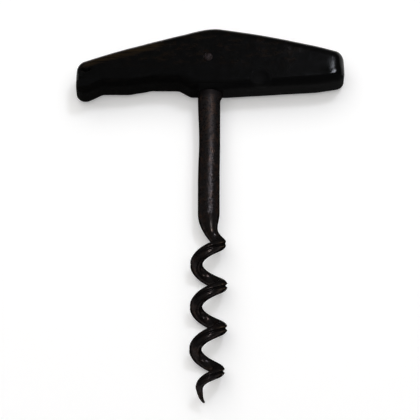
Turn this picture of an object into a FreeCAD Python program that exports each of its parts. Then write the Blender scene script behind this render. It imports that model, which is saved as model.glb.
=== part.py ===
# An old direct-pull corkscrew: a slab of black horn, an iron shank wound into a worm, and a cross pin.
# It lies on the flat back of its handle. X runs along the handle, Y from the point to the crown,
# and Z up from the surface that it lies on. All lengths are millimetres.
import FreeCAD
import Part
import Sketcher
import math
import os

# Driving sizes
# While the pieces are built, the shank's axis is the Y axis, and y is 0 where the shank enters the handle.
SIZES = [
    ("handle_left", 41.0, "shank axis to the handle's lower left corner"),
    ("handle_right", 41.75, "shank axis to the handle's lower right corner"),
    ("handle_thickness", 11.0, "flat back to flat front"),
    ("edge_rounding", 2.5, "rounding along the front and back edges"),
    ("crown_height", 20.3, "underside to the sharp crown, before it is rounded"),
    ("crown_right", 1.2, "crown's distance to the right of the shank axis"),
    ("crown_radius", 20.0, "rounding of the crown"),
    ("left_flank_radius", 330.0, "slow curve of the top, left of the crown"),
    ("right_flank_radius", 240.0, "slow curve of the top, right of the crown"),
    ("end_radius", 50.0, "slow curve of both end faces"),
    ("left_top", 8.0, "height of the left end's upper corner"),
    ("left_drop", 1.65, "how far the left end's lower corner hangs below the seat"),
    ("left_lean", 0.3, "how far the left end leans in at its upper corner"),
    ("right_top", 12.0, "height of the right end's upper corner"),
    ("right_rise", 3.2, "how far the right end's lower corner lies above the seat"),
    ("right_lean", 0.3, "how far the right end leans in at its upper corner"),
    ("toe_length", 9.6, "right end to the bend of the underside"),
    ("toe_rise", 1.75, "how far that bend lies above the seat"),
    ("upper_corner_radius", 3.4, "rounding of the two upper corners in plan"),
    ("lower_corner_radius", 2.6, "rounding of the two lower corners in plan"),
    ("seat_half", 5.6, "half the flat stretch of the underside round the shank"),
    ("lobe_length", 3.4, "left end to the start of the worn hollow"),
    ("hollow_entry", 4.5, "length of the hollow's left slope"),
    ("hollow_shelf", 7.6, "length of the hollow's shallow shelf"),
    ("hollow_climb", 8.2, "length from the shelf to the roof"),
    ("hollow_exit", 3.8, "length of the hollow's right slope"),
    ("shelf_depth", 0.75, "height of the shelf above the seat"),
    ("roof_depth", 2.05, "height of the hollow's roof above the seat"),
    ("hollow_radius", 3.0, "softening of the hollow's corners"),
    ("crater_right", 16.0, "crater's centre to the right of the shank axis"),
    ("crater_height", 2.8, "crater's centre above the seat"),
    ("crater_half_width", 3.6, "half width of the ball that the crater is part of"),
    ("crater_depth", 1.25, "depth of the crater below the front face"),
    ("chip_inset", 1.85, "chip's left hole from the handle's left end"),
    ("chip_spacing", 1.0, "step from each hole of the chip to the next"),
    ("chip_height", 5.55, "height of the chip's outer holes above the seat"),
    ("chip_fall", 0.65, "how much lower the chip's middle hole lies"),
    ("chip_radius", 0.65, "radius of each hole of the chip"),
    ("chip_depth", 1.6, "depth of the chip below the front face"),
    ("shank_top_radius", 3.39, "shank where it enters the handle"),
    ("shank_waist_radius", 3.19, "shank at its waist"),
    ("shank_low_radius", 3.27, "shank above the bend"),
    ("shank_length", 39.75, "seat to the start of the bend"),
    ("waist_drop", 15.85, "seat to the waist"),
    ("waist_reach", 13.0, "half the length of the waist"),
    ("waist_shift", 0.2, "how far the waist stands to the right"),
    ("tang_step", 0.2, "how much thinner the tang is than the shank"),
    ("tang_length", 15.0, "tang inside the handle"),
    ("tang_lead", 0.6, "bevel of the tang's end"),
    ("bore_clearance", 0.05, "gap round the tang"),
    ("bore_end_gap", 0.4, "gap past the tang's end"),
    ("bore_point", 1.4, "depth of the drill's cone past the bore"),
    ("bend_turn", 0.258, "turns that the bend takes before the first right tip"),
    ("bend_drop", 9.95, "start of the bend to the first right tip"),
    ("bend_lead", 61.2, "lead per turn as the bend starts"),
    ("bend_thinning", 0.15, "turns over which the shank thins to the wire"),
    ("wire_radius", 1.84, "wire of the worm"),
    ("worm_radius", 3.58, "worm's axis to the middle of the wire"),
    ("worm_swell", 0.27, "extra worm radius half way down"),
    ("worm_sway", 0.35, "sideways bow of the worm half way down"),
    ("worm_lean", 0.0074, "sideways lean of the worm per millimetre of drop"),
    ("worm_pitch", 13.54, "worm's lead per turn"),
    ("worm_turns", 3.7, "turns from the first right tip to the point"),
    ("point_turns", 0.46, "last turns, over which the worm closes in"),
    ("point_closing", 0.3, "turns in which the worm closes in"),
    ("point_offset", 1.89, "point's distance from the worm's axis"),
    ("point_radius", 0.26, "radius of the worn point"),
    ("taper_turns", 2.18, "last turns, over which the wire thins"),
    ("groove_width", 1.15, "width of the groove along the worm's outside"),
    ("groove_depth", 0.6, "depth of the groove"),
    ("groove_run_in", 0.35, "turns over which the groove starts"),
    ("pin_radius", 1.35, "cross pin"),
    ("pin_left", 0.3, "pin's distance to the left of the shank axis"),
    ("pin_height", 9.9, "pin's height above the seat"),
    ("pin_proud", 0.1, "how far the pin's shaft stands out of the front"),
    ("pin_dome", 0.2, "height of the pin's hammered dome"),
    ("pin_recess", 0.15, "how far the pin's back end lies below the back face"),
    ("pin_clearance", 0.05, "gap round the pin"),
]

# Numbers that aren't sizes
SHEET = "Sizes"
CORNER_REACH = 0.05
TAPER_POWER = 5.2
SECTIONS_PER_TURN = 24
BEND_SECTIONS = 12
SHANK_SECTIONS = 10
STEP_OF_ANGLE = 0.001
BEZIER_SHARE = 4.0 / 3.0
ROUND_PIECES = 4
ROUND_KNOTS = [0.0, 1.0, 2.0, 3.0, 4.0]
ROUND_MULTIPLICITIES = [4, 2, 2, 2, 4]
GROOVE_KNOTS = [0.0, 1.0]
GROOVE_MULTIPLICITIES = [4, 4]
FULL_TURN = 2.0 * math.pi


class Length:
    """A length in two forms: its number, and the expression that ties it to the sheet."""

    def __init__(self, number, text):
        self.number = number
        self.text = text

    def __add__(self, other):
        return Length(self.number + other.number, "({} + {})".format(self.text, other.text))

    def __sub__(self, other):
        return Length(self.number - other.number, "({} - {})".format(self.text, other.text))

    def __neg__(self):
        return Length(-self.number, "(-{})".format(self.text))

    def half(self):
        return Length(self.number / 2.0, "({} / 2)".format(self.text))


class Sizes:
    """The sheet's lengths as attributes."""

    def __init__(self, rows):
        for alias, value, _ in rows:
            setattr(self, alias, Length(value, "{}.{}".format(SHEET, alias)))


NOTHING = Length(0.0, "0")
STRAIGHT = None
SMOOTH = "smooth"
document = FreeCAD.newDocument("Corkscrew")
size = Sizes(SIZES)


# The sheet of driving sizes
def make_sheet():
    sheet = document.addObject("Spreadsheet::Sheet", SHEET)
    for row, (alias, value, meaning) in enumerate(SIZES, 1):
        sheet.set("A{}".format(row), meaning)
        sheet.set("B{}".format(row), str(value))
        sheet.setAlias("B{}".format(row), alias)
    document.recompute()
    return sheet


# Sketches on a body's own planes
def new_sketch(body, name, plane_role):
    plane = [item for item in body.Origin.OriginFeatures if item.Role == plane_role][0]
    sketch = body.newObject("Sketcher::SketchObject", name)
    sketch.AttachmentSupport = [(plane, "")]
    sketch.MapMode = "FlatFace"
    return sketch


def point_end(sketch, edge, point):
    gap_to_start = (sketch.getPoint(edge, 1) - point).Length
    gap_to_end = (sketch.getPoint(edge, 2) - point).Length
    return 1 if gap_to_start < gap_to_end else 2


def tie(sketch, name, kind, edge, end, length):
    # Ties one coordinate of a point to the sheet, measured from the sketch's origin.
    if length.number == 0.0:
        axis = -2 if kind == "DistanceX" else -1
        sketch.addConstraint(Sketcher.Constraint("PointOnObject", edge, end, axis))
        return
    if length.number < 0.0:
        constraint = Sketcher.Constraint(kind, edge, end, -1, 1, -length.number)
        text = (-length).text
    else:
        constraint = Sketcher.Constraint(kind, -1, 1, edge, end, length.number)
        text = length.text
    number = sketch.addConstraint(constraint)
    sketch.renameConstraint(number, name)
    sketch.setExpression("Constraints." + name, text)


def arc_middle(start, end, rise):
    # An outline runs anticlockwise, so outwards is to the right of its run.
    chord = end - start
    outwards = FreeCAD.Vector(chord.y, -chord.x, 0).normalize()
    return (start + end) * 0.5 + outwards * rise


def radius_rise(start, end, radius):
    half_chord = (end - start).Length / 2.0
    return radius - math.sqrt(radius ** 2 - half_chord ** 2)


def smooth_rise(before, start, end):
    # The rise of the arc that leaves the straight edge before it without a corner.
    run = start - before
    chord = end - start
    turn = math.atan2(run.x * chord.y - run.y * chord.x, run.x * chord.x + run.y * chord.y)
    return chord.Length / 2.0 * math.tan(turn / 2.0)


def add_edge(sketch, index, points, name, shape):
    # One edge of an outline: STRAIGHT, SMOOTH, or an arc of the given radius.
    start = points[index]
    end = points[(index + 1) % len(points)]
    if shape is STRAIGHT:
        sketch.addGeometry(Part.LineSegment(start, end), False)
    elif shape is SMOOTH:
        middle = arc_middle(start, end, smooth_rise(points[index - 1], start, end))
        sketch.addGeometry(Part.Arc(start, middle, end), False)
    else:
        middle = arc_middle(start, end, radius_rise(start, end, shape.number))
        sketch.addGeometry(Part.Arc(start, middle, end), False)
        number = sketch.addConstraint(Sketcher.Constraint("Radius", index, shape.number))
        sketch.renameConstraint(number, name + "_radius")
        sketch.setExpression("Constraints.{}_radius".format(name), shape.text)


def draw_outline(sketch, corners):
    # Each corner is a name, its x, its y, and the shape of the edge that leaves it.
    points = [FreeCAD.Vector(x.number, y.number, 0) for _, x, y, _ in corners]
    for index, (name, _, _, shape) in enumerate(corners):
        add_edge(sketch, index, points, name, shape)
    for index, (name, x, y, shape) in enumerate(corners):
        before = index - 1 if index else len(corners) - 1
        own_end = point_end(sketch, index, points[index])
        other_end = point_end(sketch, before, points[index])
        joint = "Tangent" if shape is SMOOTH else "Coincident"
        sketch.addConstraint(Sketcher.Constraint(joint, before, other_end, index, own_end))
        tie(sketch, name + "_x", "DistanceX", index, own_end, x)
        tie(sketch, name + "_y", "DistanceY", index, own_end, y)
    finish(sketch)


def draw_circle(sketch, name, x, y, radius):
    centre = FreeCAD.Vector(x.number, y.number, 0)
    edge = sketch.addGeometry(Part.Circle(centre, FreeCAD.Vector(0, 0, 1), radius.number), False)
    number = sketch.addConstraint(Sketcher.Constraint("Radius", edge, radius.number))
    sketch.renameConstraint(number, name + "_radius")
    sketch.setExpression("Constraints.{}_radius".format(name), radius.text)
    tie(sketch, name + "_x", "DistanceX", edge, 3, x)
    tie(sketch, name + "_y", "DistanceY", edge, 3, y)
    finish(sketch)


# Features of a body
def finish(feature):
    document.recompute()
    if "Invalid" in feature.State or "Error" in feature.State:
        raise RuntimeError("{} failed: {}".format(feature.Name, feature.State))
    return feature


def finish_cut(feature, volume_before):
    finish(feature)
    if not feature.Shape.Volume < volume_before:
        raise RuntimeError("{} cuts nothing".format(feature.Name))
    return feature


def upright_edges(shape, corner):
    # Names of the edges that stand across the slab at one corner of its outline.
    names = []
    for number, edge in enumerate(shape.Edges, 1):
        if len(edge.Vertexes) != 2:
            continue
        first, last = [vertex.Point for vertex in edge.Vertexes]
        aside = math.hypot(first.x - corner[0].number, first.y - corner[1].number)
        lean = math.hypot(first.x - last.x, first.y - last.y)
        if aside < CORNER_REACH and lean < CORNER_REACH and abs(first.z - last.z) > CORNER_REACH:
            names.append("Edge{}".format(number))
    return names


def face_edges(shape, half_thickness):
    # Names of the edges that lie in the front or back face.
    names = []
    for number, edge in enumerate(shape.Edges, 1):
        box = edge.BoundBox
        flat = box.ZLength < CORNER_REACH
        if flat and abs(abs(box.Center.z) - half_thickness) < CORNER_REACH:
            names.append("Edge{}".format(number))
    return names


def round_edges(body, name, base, edges, radius):
    feature = body.newObject("PartDesign::Fillet", name)
    feature.Base = (base, edges)
    feature.Radius = radius.number
    feature.setExpression("Radius", radius.text)
    return finish(feature)


def cut_through(body, name, sketch):
    volume_before = body.Shape.Volume
    feature = body.newObject("PartDesign::Pocket", name)
    feature.Profile = sketch
    feature.Type = "ThroughAll"
    feature.Midplane = True
    return finish_cut(feature, volume_before)


# The handle
def handle_corners():
    # The outline before it is rounded, anticlockwise from the lower left corner.
    # A hollow is worn into the underside between the lobe at the left end and the seat of the shank.
    lobe_end = size.handle_left - size.lobe_length
    shelf_start = lobe_end - size.hollow_entry
    shelf_end = shelf_start - size.hollow_shelf
    roof_start = shelf_end - size.hollow_climb
    roof_end = size.seat_half + size.hollow_exit
    return [
        ("lobe", -size.handle_left, -size.left_drop, STRAIGHT),
        ("lobe_end", -lobe_end, -size.left_drop, STRAIGHT),
        ("shelf_start", -shelf_start, size.shelf_depth, STRAIGHT),
        ("shelf_end", -shelf_end, size.shelf_depth, SMOOTH),
        ("roof_start", -roof_start, size.roof_depth, STRAIGHT),
        ("roof_end", -roof_end, size.roof_depth, STRAIGHT),
        ("seat_start", -size.seat_half, NOTHING, STRAIGHT),
        ("seat_end", size.seat_half, NOTHING, STRAIGHT),
        ("toe", size.handle_right - size.toe_length, size.toe_rise, SMOOTH),
        ("right_low", size.handle_right, size.right_rise, size.end_radius),
        ("right_high", size.handle_right - size.right_lean, size.right_top, size.right_flank_radius),
        ("crown", size.crown_right, size.crown_height, size.left_flank_radius),
        ("left_high", size.left_lean - size.handle_left, size.left_top, size.end_radius),
    ]


def tang_radius():
    return size.shank_top_radius - size.tang_step


def cut_bore(body):
    # The blind bore for the tang ends in the drill's cone.
    bore_radius = tang_radius() + size.bore_clearance
    bore_depth = size.tang_length + size.bore_end_gap
    volume_before = body.Shape.Volume
    sketch = new_sketch(body, "BoreSketch", "XY_Plane")
    draw_outline(sketch, [
        ("foot", NOTHING, -bore_radius, STRAIGHT),
        ("wall", bore_radius, -bore_radius, STRAIGHT),
        ("bottom", bore_radius, bore_depth, STRAIGHT),
        ("cone", NOTHING, bore_depth + size.bore_point, STRAIGHT),
    ])
    feature = body.newObject("PartDesign::Groove", "Bore")
    feature.Profile = sketch
    feature.ReferenceAxis = (sketch, ["V_Axis"])
    feature.Angle = 360.0
    return finish_cut(feature, volume_before)


def cut_crater(body):
    # One insect's crater, part of a ball, on the lower front edge.
    rise = size.handle_thickness.half() + size.crater_half_width - size.crater_depth
    volume_before = body.Shape.Volume
    feature = body.newObject("PartDesign::SubtractiveSphere", "Crater")
    feature.setExpression("Radius", size.crater_half_width.text)
    feature.setExpression("Placement.Base.x", size.crater_right.text)
    feature.setExpression("Placement.Base.y", size.crater_height.text)
    feature.setExpression("Placement.Base.z", rise.text)
    return finish_cut(feature, volume_before)


def cut_chip(body):
    # Three holes that run into each other near the upper left corner.
    left = size.chip_inset - size.handle_left
    middle = left + size.chip_spacing
    right = middle + size.chip_spacing
    low = size.chip_height - size.chip_fall
    floor = size.handle_thickness.half() - size.chip_depth
    holes = [("LeftHole", left, size.chip_height), ("MiddleHole", middle, low)]
    holes.append(("RightHole", right, size.chip_height))
    for name, across, height in holes:
        volume_before = body.Shape.Volume
        feature = body.newObject("PartDesign::SubtractiveCylinder", name)
        feature.setExpression("Radius", size.chip_radius.text)
        feature.setExpression("Height", size.handle_thickness.text)
        feature.setExpression("Placement.Base.x", across.text)
        feature.setExpression("Placement.Base.y", height.text)
        feature.setExpression("Placement.Base.z", floor.text)
        finish_cut(feature, volume_before)


def make_handle():
    body = document.addObject("PartDesign::Body", "Handle")
    outline = new_sketch(body, "OutlineSketch", "XY_Plane")
    draw_outline(outline, handle_corners())
    slab = body.newObject("PartDesign::Pad", "Slab")
    slab.Profile = outline
    slab.Midplane = True
    slab.setExpression("Length", size.handle_thickness.text)
    feature = finish(slab)

    places = {name: (x, y) for name, x, y, _ in handle_corners()}
    roundings = [
        ("Crown", ["crown"], size.crown_radius),
        ("UpperCorners", ["right_high", "left_high"], size.upper_corner_radius),
        ("LowerCorners", ["lobe", "right_low"], size.lower_corner_radius),
        ("HollowCorners", ["lobe_end", "shelf_start", "roof_start", "roof_end"], size.hollow_radius),
    ]
    for name, corners, radius in roundings:
        edges = [edge for corner in corners for edge in upright_edges(feature.Shape, places[corner])]
        feature = round_edges(body, name, feature, edges, radius)

    edges = face_edges(feature.Shape, size.handle_thickness.number / 2.0)
    round_edges(body, "EdgeRounding", feature, edges, size.edge_rounding)

    cut_bore(body)
    pin_hole = new_sketch(body, "PinHoleSketch", "XY_Plane")
    draw_circle(pin_hole, "hole", -size.pin_left, size.pin_height, size.pin_radius + size.pin_clearance)
    cut_through(body, "PinHole", pin_hole)
    cut_crater(body)
    cut_chip(body)
    body.Label = "handle"
    return body


# The shank and the worm
def blend(share):
    # Runs smoothly from 0 to 1.
    share = min(max(share, 0.0), 1.0)
    return share * share * (3.0 - 2.0 * share)


def shank_radius(drop):
    # The shank is thinnest at its waist.
    beside = blend(abs(drop - size.waist_drop.number) / size.waist_reach.number)
    above = drop < size.waist_drop.number
    far = size.shank_top_radius.number if above else size.shank_low_radius.number
    return size.shank_waist_radius.number + (far - size.shank_waist_radius.number) * beside


def shank_centre(drop):
    beside = blend(abs(drop - size.waist_drop.number) / size.waist_reach.number)
    return FreeCAD.Vector(size.waist_shift.number * (1.0 - beside), -drop, 0)


def belly(angle):
    # A single hump from the first right tip to the last full turn.
    full = (size.worm_turns.number - size.point_turns.number) * FULL_TURN
    return math.sin(math.pi * min(max(angle / full, 0.0), 1.0))


def worm_height(angle):
    # The height falls evenly with the angle, and more steeply through the bend.
    bend_start = -size.bend_turn.number * FULL_TURN
    start_height = -size.shank_length.number
    first_tip = start_height - size.bend_drop.number
    slope = -size.worm_pitch.number / FULL_TURN
    if angle >= 0.0:
        return first_tip + slope * angle
    part = (angle - bend_start) / -bend_start
    start_slope = -size.bend_lead.number / FULL_TURN * -bend_start
    end_slope = slope * -bend_start
    height = (2 * part ** 3 - 3 * part ** 2 + 1) * start_height
    height += (part ** 3 - 2 * part ** 2 + part) * start_slope
    height += (-2 * part ** 3 + 3 * part ** 2) * first_tip
    height += (part ** 3 - part ** 2) * end_slope
    return height


def worm_offset(angle):
    # Distance from the worm's axis: it opens through the bend and closes in at the point.
    bend_start = -size.bend_turn.number * FULL_TURN
    opening = blend((angle - bend_start) / -bend_start)
    closing_start = (size.worm_turns.number - size.point_turns.number) * FULL_TURN
    closing = blend((angle - closing_start) / (size.point_closing.number * FULL_TURN))
    full = size.worm_radius.number + size.worm_swell.number * belly(angle)
    return full * opening * (1.0 - closing) + size.point_offset.number * closing


def worm_centre(angle):
    offset = worm_offset(angle)
    height = worm_height(angle)
    aside = size.worm_sway.number * belly(angle)
    aside += size.worm_lean.number * (height + size.shank_length.number)
    return FreeCAD.Vector(offset * math.cos(angle) + aside, height, offset * math.sin(angle))


def wire_radius(angle):
    # The shank thins to the wire through the bend, and the wire thins to the point.
    bend_start = -size.bend_turn.number * FULL_TURN
    thinning = blend((angle - bend_start) / (size.bend_thinning.number * FULL_TURN))
    wire = size.wire_radius.number
    radius = size.shank_low_radius.number + (wire - size.shank_low_radius.number) * thinning
    end = size.worm_turns.number * FULL_TURN
    taper = size.taper_turns.number * FULL_TURN
    share = max((angle - end + taper) / taper, 0.0) ** TAPER_POWER
    return radius * (1.0 - share) + size.point_radius.number * share


def groove_share(angle):
    # The groove fades in at the first right tip and out at the point.
    run_in = size.groove_run_in.number * FULL_TURN
    end = size.worm_turns.number * FULL_TURN
    fading_in = blend(angle / run_in + 0.5)
    fading_out = blend((end - angle) / run_in)
    return fading_in * fading_out * wire_radius(angle) / size.wire_radius.number


class Section:
    """A round section with a groove on its outer side, as the poles of two cubic curves."""

    def __init__(self, centre, run, outwards, radius, groove):
        run = FreeCAD.Vector(run).normalize()
        self.centre = centre
        self.outwards = (outwards - run * outwards.dot(run)).normalize()
        self.side = run.cross(self.outwards)
        self.radius = radius
        self.depth = size.groove_depth.number * groove
        self.lip = math.asin(size.groove_width.number / 2.0 / size.wire_radius.number)

    def point(self, angle):
        return self.centre + (self.outwards * math.cos(angle) + self.side * math.sin(angle)) * self.radius

    def tangent(self, angle):
        return self.side * math.cos(angle) - self.outwards * math.sin(angle)

    def reach(self, span):
        # How far a cubic arc's inner poles lie from its ends, for a span of that angle.
        return BEZIER_SHARE * math.tan(span / 4.0) * self.radius

    def round_poles(self):
        # From one lip of the groove round the back to the other lip.
        span = (FULL_TURN - 2.0 * self.lip) / ROUND_PIECES
        poles = [self.point(self.lip)]
        for piece in range(ROUND_PIECES):
            start = self.lip + span * piece
            end = start + span
            poles.append(self.point(start) + self.tangent(start) * self.reach(span))
            poles.append(self.point(end) - self.tangent(end) * self.reach(span))
        poles.append(self.point(FULL_TURN - self.lip))
        return poles

    def groove_poles(self):
        # From that lip through the groove back to the first lip.
        inwards = self.outwards * (-BEZIER_SHARE * self.depth)
        reach = self.reach(2.0 * self.lip)
        first = self.point(FULL_TURN - self.lip) + self.tangent(-self.lip) * reach + inwards
        last = self.point(self.lip) - self.tangent(self.lip) * reach + inwards
        return [self.point(FULL_TURN - self.lip), first, last, self.point(self.lip)]


def worm_sections():
    sections = []
    bend_start = -size.bend_turn.number * FULL_TURN
    end = size.worm_turns.number * FULL_TURN
    facing = FreeCAD.Vector(math.cos(bend_start), 0, math.sin(bend_start))
    down = FreeCAD.Vector(0, -1, 0)
    for number in range(SHANK_SECTIONS):
        drop = size.shank_length.number * number / SHANK_SECTIONS
        sections.append(Section(shank_centre(drop), down, facing, shank_radius(drop), 0.0))
    angles = [bend_start * (1.0 - number / BEND_SECTIONS) for number in range(BEND_SECTIONS)]
    worm_count = int(math.ceil(size.worm_turns.number * SECTIONS_PER_TURN))
    angles += [end * number / worm_count for number in range(worm_count + 1)]
    for angle in angles:
        run = worm_centre(angle + STEP_OF_ANGLE) - worm_centre(angle)
        outwards = FreeCAD.Vector(math.cos(angle), 0, math.sin(angle))
        sections.append(Section(worm_centre(angle), run, outwards, wire_radius(angle), groove_share(angle)))
    return sections


def skin_face(rows, stations, knots, multiplicities):
    # A smooth face of the third degree through rows of poles, one row for each section.
    lines = []
    for number in range(len(rows[0])):
        line = Part.BSplineCurve()
        line.interpolate(Points=[row[number] for row in rows], Parameters=stations)
        lines.append(line)
    poles = [line.getPoles() for line in lines]
    surface = Part.BSplineSurface()
    along_multiplicities = lines[0].getMultiplicities()
    along_knots = lines[0].getKnots()
    surface.buildFromPolesMultsKnots(
        poles, multiplicities, along_multiplicities, knots, along_knots, False, False, 3, 3)
    return surface.toShape()


def end_face(first_poles, second_poles):
    # A flat face across one section.
    round_curve = Part.BSplineCurve()
    round_curve.buildFromPolesMultsKnots(first_poles, ROUND_MULTIPLICITIES, ROUND_KNOTS, False, 3)
    groove_curve = Part.BSplineCurve()
    groove_curve.buildFromPolesMultsKnots(second_poles, GROOVE_MULTIPLICITIES, GROOVE_KNOTS, False, 3)
    return Part.Face(Part.Wire([round_curve.toShape(), groove_curve.toShape()]))


def make_skin():
    # The stations are the distances along the middle of the shank and the wire.
    sections = worm_sections()
    stations = [0.0]
    for before, after in zip(sections, sections[1:]):
        stations.append(stations[-1] + (after.centre - before.centre).Length)
    round_rows = [section.round_poles() for section in sections]
    groove_rows = [section.groove_poles() for section in sections]
    faces = [
        skin_face(round_rows, stations, ROUND_KNOTS, ROUND_MULTIPLICITIES),
        skin_face(groove_rows, stations, GROOVE_KNOTS, GROOVE_MULTIPLICITIES),
        end_face(round_rows[0], groove_rows[0]),
        end_face(round_rows[-1], groove_rows[-1]),
    ]
    skin = Part.makeCompound(faces)
    skin.sewShape()
    solid = Part.Solid(Part.Shell(skin.Faces))
    if solid.Volume < 0.0:
        solid.reverse()
    return solid


def make_shank_and_worm():
    skin = document.addObject("Part::Feature", "ShankAndWormSkin")
    skin.Shape = make_skin()

    tang = document.addObject("Part::Cylinder", "Tang")
    lead = document.addObject("Part::Cone", "TangLead")
    turned = FreeCAD.Rotation(FreeCAD.Vector(1, 0, 0), -90)
    tang.Placement = FreeCAD.Placement(FreeCAD.Vector(), turned)
    lead.Placement = FreeCAD.Placement(FreeCAD.Vector(), turned)
    tang.setExpression("Radius", tang_radius().text)
    tang.setExpression("Height", (size.tang_length - size.tang_lead).text)
    lead.setExpression("Radius1", tang_radius().text)
    lead.setExpression("Radius2", (tang_radius() - size.tang_lead).text)
    lead.setExpression("Height", size.tang_lead.text)
    lead.setExpression("Placement.Base.y", (size.tang_length - size.tang_lead).text)

    whole = document.addObject("Part::MultiFuse", "ShankTangAndWorm")
    whole.Shapes = [skin, tang, lead]
    drill = document.addObject("Part::Cylinder", "PinHoleDrill")
    drill.setExpression("Radius", (size.pin_radius + size.pin_clearance).text)
    drill.setExpression("Height", size.handle_thickness.text)
    drill.setExpression("Placement.Base.x", (-size.pin_left).text)
    drill.setExpression("Placement.Base.y", size.pin_height.text)
    drill.setExpression("Placement.Base.z", (-size.handle_thickness.half()).text)
    piece = document.addObject("Part::Cut", "ShankAndWorm")
    piece.Base = whole
    piece.Tool = drill
    piece.Label = "shank_and_worm"
    document.recompute()
    return piece


# The cross pin
def make_cross_pin():
    # The pin is turned about its own axis, with a low dome hammered on its front end.
    back = size.pin_recess - size.handle_thickness.half()
    front = size.handle_thickness.half() + size.pin_proud
    top = front + size.pin_dome
    body = document.addObject("PartDesign::Body", "CrossPin")
    sketch = new_sketch(body, "PinSketch", "XZ_Plane")
    draw_outline(sketch, [
        ("back", NOTHING, back, STRAIGHT),
        ("back_rim", size.pin_radius, back, STRAIGHT),
        ("front_rim", size.pin_radius, front, STRAIGHT),
        ("edge", size.pin_radius - size.pin_dome, top, STRAIGHT),
        ("top", NOTHING, top, STRAIGHT),
    ])
    feature = body.newObject("PartDesign::Revolution", "Pin")
    feature.Profile = sketch
    feature.ReferenceAxis = (sketch, ["V_Axis"])
    feature.Angle = 360.0
    finish(feature)
    body.Label = "cross_pin"
    return body


# Checks and files
def check_document():
    for item in document.Objects:
        if "Invalid" in item.State or "Error" in item.State:
            raise RuntimeError("{} failed: {}".format(item.Label, item.State))


def check_piece(piece):
    if piece.Shape.isNull() or not piece.Shape.isValid():
        raise RuntimeError("{} has no valid shape".format(piece.Label))
    if len(piece.Shape.Solids) != 1:
        raise RuntimeError("{} isn't one solid".format(piece.Label))


def place(pieces, pin):
    # The origin is on the surface below, in the middle of the whole corkscrew.
    pin.Placement.Base = FreeCAD.Vector(-size.pin_left.number, size.pin_height.number, 0)
    boxes = [piece.Shape.optimalBoundingBox(True, False) for piece in pieces]
    whole = FreeCAD.BoundBox()
    for box in boxes:
        whole.add(box)
    shift = FreeCAD.Vector(-whole.Center.x, -whole.Center.y, -whole.ZMin)
    for piece in pieces:
        piece.Placement.Base = piece.Placement.Base + shift
    document.recompute()
    return shift, whole


make_sheet()
handle = make_handle()
shank_and_worm = make_shank_and_worm()
cross_pin = make_cross_pin()
subparts = [handle, shank_and_worm, cross_pin]
shift, whole = place(subparts, cross_pin)
check_document()
os.makedirs("parts", exist_ok=True)
for subpart in subparts:
    check_piece(subpart)
    subpart.Shape.exportStep("parts/{}.step".format(subpart.Label))
    print("{}: {:.1f} mm3".format(subpart.Label, subpart.Shape.Volume))
print("overall {:.2f} x {:.2f} x {:.2f} mm".format(whole.XLength, whole.YLength, whole.ZLength))
print("shank axis and seat moved by {:.3f}, {:.3f}, {:.3f}".format(shift.x, shift.y, shift.z))
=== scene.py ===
"""An old corkscrew with a black horn handle, lying on a white table.

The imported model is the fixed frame. Three detailed pieces stand for its three nodes: the worn horn handle,
the rusty iron shank with its grooved worm, and the hammered cross pin. Sizes are millimetres unless a name
says otherwise, and the meshes are scaled to metres as they are made. Places are measured from the seat, where
the shank's axis meets the handle's underside, half way up its thickness: x to the right, y to the crown and
z to the front face.
"""
import logging
import math
from dataclasses import dataclass, fields, replace
from enum import Enum
from typing import Optional, Union

import bmesh
import bpy
from bpy.types import ID, Material, Node, NodeSocket, NodeTree, Object
from mathutils import Matrix, Vector


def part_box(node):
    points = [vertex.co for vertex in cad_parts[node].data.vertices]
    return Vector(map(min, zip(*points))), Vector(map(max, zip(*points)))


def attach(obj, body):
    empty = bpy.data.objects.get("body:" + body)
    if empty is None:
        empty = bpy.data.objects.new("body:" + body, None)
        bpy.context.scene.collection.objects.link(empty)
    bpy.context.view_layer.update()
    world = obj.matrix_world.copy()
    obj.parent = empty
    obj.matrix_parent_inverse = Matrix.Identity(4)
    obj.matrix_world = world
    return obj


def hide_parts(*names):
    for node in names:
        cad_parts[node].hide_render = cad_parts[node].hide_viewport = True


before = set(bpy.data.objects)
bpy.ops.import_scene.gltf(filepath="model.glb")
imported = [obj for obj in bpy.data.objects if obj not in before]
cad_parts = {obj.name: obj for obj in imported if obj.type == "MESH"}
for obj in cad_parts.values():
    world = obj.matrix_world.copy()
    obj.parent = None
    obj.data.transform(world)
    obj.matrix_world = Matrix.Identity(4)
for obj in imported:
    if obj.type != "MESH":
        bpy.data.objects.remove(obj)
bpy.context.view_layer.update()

MM = 0.001
WELD_METRES = 1e-6
log = logging.getLogger("corkscrew")

Colour = tuple[float, float, float]
Place = tuple[float, float, float]
Number = Union[float, "Scalar"]


class Mapped(Enum):
    """How a value is carried from one range to another."""

    STRAIGHT = "LINEAR"
    SMOOTH = "SMOOTHSTEP"


# Arithmetic inside node trees
def feed(tree: NodeTree, socket: NodeSocket, value: object) -> None:
    """Gives a socket a link or a constant.

    Args:
        tree: the socket's tree.
        socket: an input socket.
        value: a Scalar, a Triple, an output socket, or a constant.
    """
    if isinstance(value, Wire):
        value = value.socket
    if isinstance(value, NodeSocket):
        tree.links.new(value, socket)
    else:
        socket.default_value = value


def add_node(tree: NodeTree, kind: str, inputs: dict, **settings: object) -> Node:
    """Adds a node to a tree.

    Args:
        tree: the tree.
        kind: the node's type.
        inputs: what its inputs get, by number or by name.
        settings: the node's own settings.

    Returns:
        The node.
    """
    node = tree.nodes.new(kind)
    for name, value in settings.items():
        setattr(node, name, value)
    for key, value in inputs.items():
        feed(tree, node.inputs[key], value)
    return node


class Wire:
    """A value inside a node tree."""

    def __init__(self, tree: NodeTree, socket: NodeSocket) -> None:
        """Keeps the tree and the value's socket."""
        self.tree = tree
        self.socket = socket


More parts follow.
